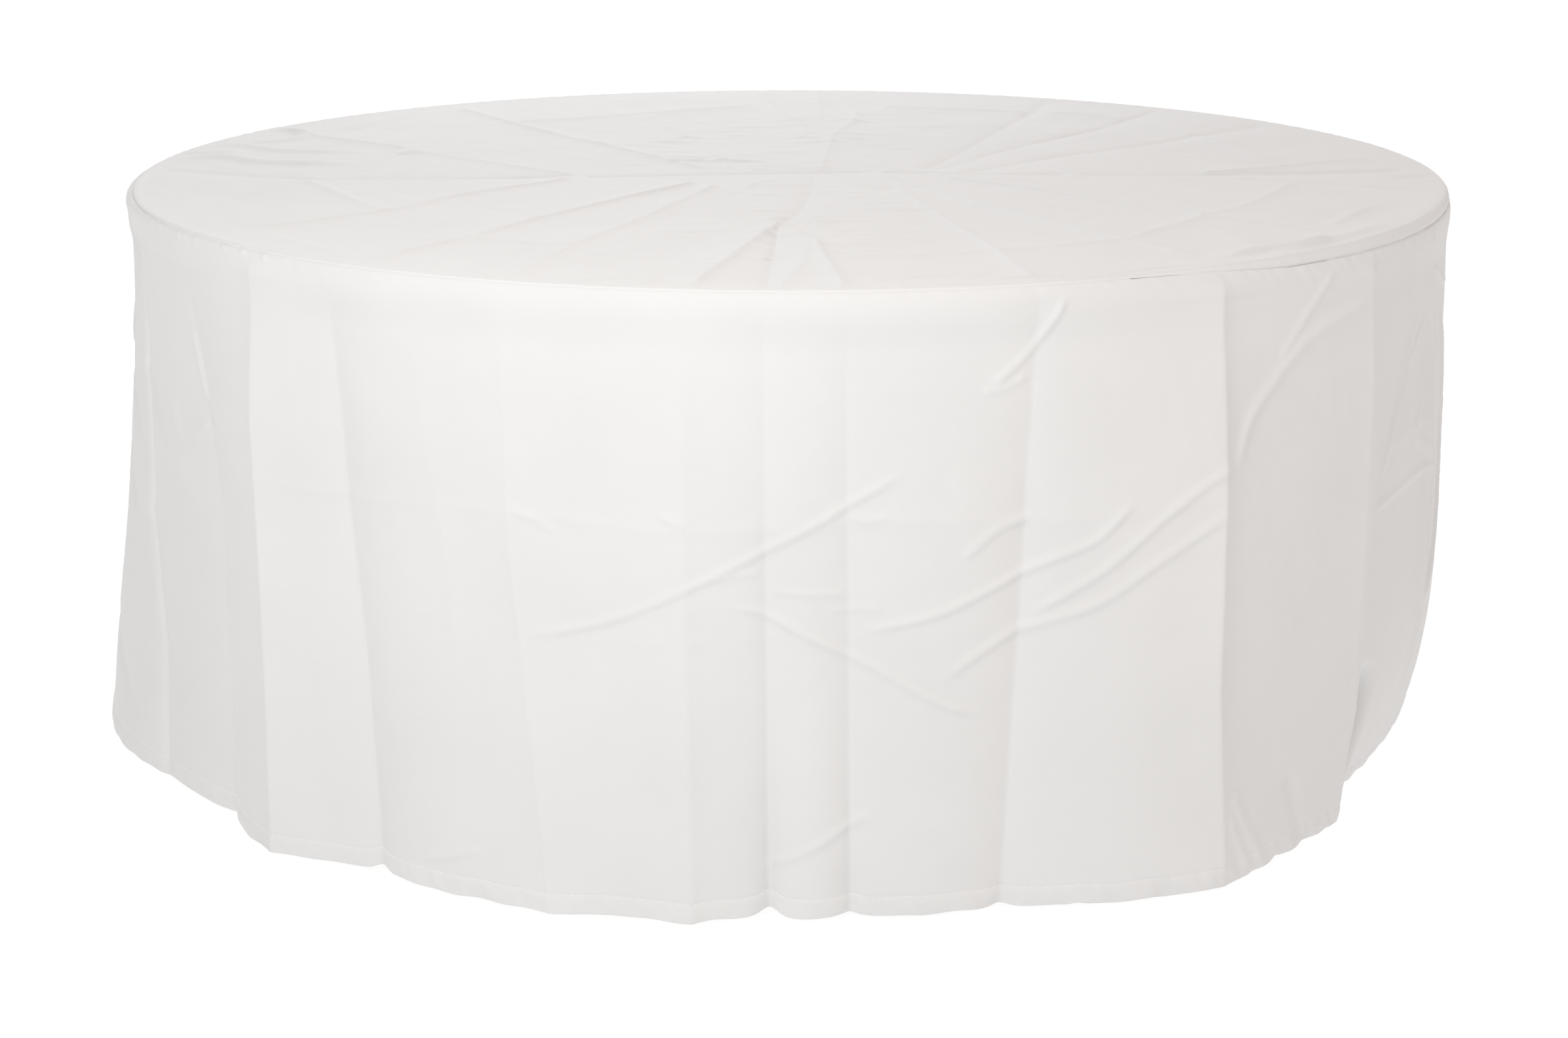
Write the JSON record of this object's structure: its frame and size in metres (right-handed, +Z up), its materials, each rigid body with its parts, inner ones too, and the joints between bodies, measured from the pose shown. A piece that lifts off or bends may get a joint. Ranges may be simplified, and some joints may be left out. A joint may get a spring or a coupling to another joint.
{
  "type": "fitted round tablecloth on a folding table",
  "caption": "Fitted floor-length cloth cover with a flat round top panel and a hemmed skirt, on a round banquet table with folding leg frames and braces.",
  "frame": {"origin": "floor centre, under the middle of the table", "axes": "+Z up; +X to the right and +Y to the back, seen from the viewing side; the leg frames pivot on bars along Y"},
  "size_m": [1.8924, 1.892, 0.7635],
  "materials": {
    "cloth": "white plain-woven polyester with a soft low sheen",
    "seam_cloth": "white plain-woven polyester, two layers",
    "thread": "white spun polyester thread",
    "plywood": "clear-lacquered birch plywood",
    "solid_wood": "lacquered hardwood",
    "edge_plastic": "dark extruded vinyl edge",
    "powder_coat": "dark grey powder coat on steel tube",
    "zinc_plate": "zinc-plated steel",
    "zinc_screw": "bright zinc",
    "glide_plastic": "black moulded plastic"
  },
  "bodies": {
    "table": {"tabletop_panel": "plywood", "edge_ring": "solid_wood", "edge_band": "edge_plastic", "runner_left": "solid_wood", "runner_right": "solid_wood", "saddle_left_front": "zinc_plate", "saddle_left_back": "zinc_plate", "saddle_right_front": "zinc_plate", "saddle_right_back": "zinc_plate", "saddle_screws_left": "zinc_screw", "saddle_screws_right": "zinc_screw", "clevis_left": "zinc_plate", "clevis_right": "zinc_plate", "clevis_screws_left": "zinc_screw", "clevis_screws_right": "zinc_screw", "clevis_pin_left": "zinc_screw", "clevis_pin_right": "zinc_screw"},
    "cover": {"cover_top": "cloth", "skirt_front": "cloth", "skirt_back": "cloth", "rim_seam": "seam_cloth", "side_seam_left": "seam_cloth", "side_seam_right": "seam_cloth", "hem_front": "seam_cloth", "hem_back": "seam_cloth", "hem_stitching": "thread"},
    "leg_frame_left": {"pivot_bar_left": "powder_coat", "leg_left_front": "powder_coat", "leg_left_back": "powder_coat", "cross_bar_left": "powder_coat", "glide_left_front": "glide_plastic", "glide_left_back": "glide_plastic", "collars_left": "glide_plastic"},
    "leg_frame_right": {"pivot_bar_right": "powder_coat", "leg_right_front": "powder_coat", "leg_right_back": "powder_coat", "cross_bar_right": "powder_coat", "glide_right_front": "glide_plastic", "glide_right_back": "glide_plastic", "collars_right": "glide_plastic"},
    "brace_upper_left": {"upper_link_left": "zinc_plate", "knee_rivet_left": "zinc_screw"},
    "brace_lower_left": {"lower_link_left": "zinc_plate"},
    "brace_upper_right": {"upper_link_right": "zinc_plate", "knee_rivet_right": "zinc_screw"},
    "brace_lower_right": {"lower_link_right": "zinc_plate"}
  },
  "joints": [
    {"name": "cover_lift", "type": "slide", "parent": "table", "child": "cover", "axis": [0, 0, 1], "range_m": [0, 0.8]},
    {"name": "leg_fold_left", "type": "hinge", "parent": "table", "child": "leg_frame_left", "pos_m": [-0.705, 0, 0.691], "axis": [0, -1, 0], "range_deg": [0, 94]},
    {"name": "leg_fold_right", "type": "hinge", "parent": "table", "child": "leg_frame_right", "pos_m": [0.705, 0, 0.691], "axis": [0, 1, 0], "range_deg": [0, 94]},
    {"name": "upper_link_turn_left", "type": "hinge", "parent": "table", "child": "brace_upper_left", "pos_m": [-0.375, 0, 0.721], "axis": [0, -1, 0], "range_deg": [-38.1, 0]},
    {"name": "upper_link_turn_right", "type": "hinge", "parent": "table", "child": "brace_upper_right", "pos_m": [0.375, 0, 0.721], "axis": [0, 1, 0], "range_deg": [-38.1, 0]},
    {"name": "lower_link_turn_left", "type": "hinge", "parent": "leg_frame_left", "child": "brace_lower_left", "pos_m": [-0.72314, 0, 0.43163], "axis": [0, -1, 0], "range_deg": [0, 39.8]},
    {"name": "lower_link_turn_right", "type": "hinge", "parent": "leg_frame_right", "child": "brace_lower_right", "pos_m": [0.72314, 0, 0.43163], "axis": [0, 1, 0], "range_deg": [0, 39.8]}
  ],
  "couplings": [
    {"joint": "upper_link_turn_left", "follows": "leg_fold_left", "ratio": -0.404},
    {"joint": "upper_link_turn_right", "follows": "leg_fold_right", "ratio": -0.404},
    {"joint": "lower_link_turn_left", "follows": "leg_fold_left", "ratio": 0.4222},
    {"joint": "lower_link_turn_right", "follows": "leg_fold_right", "ratio": 0.4222}
  ]
}
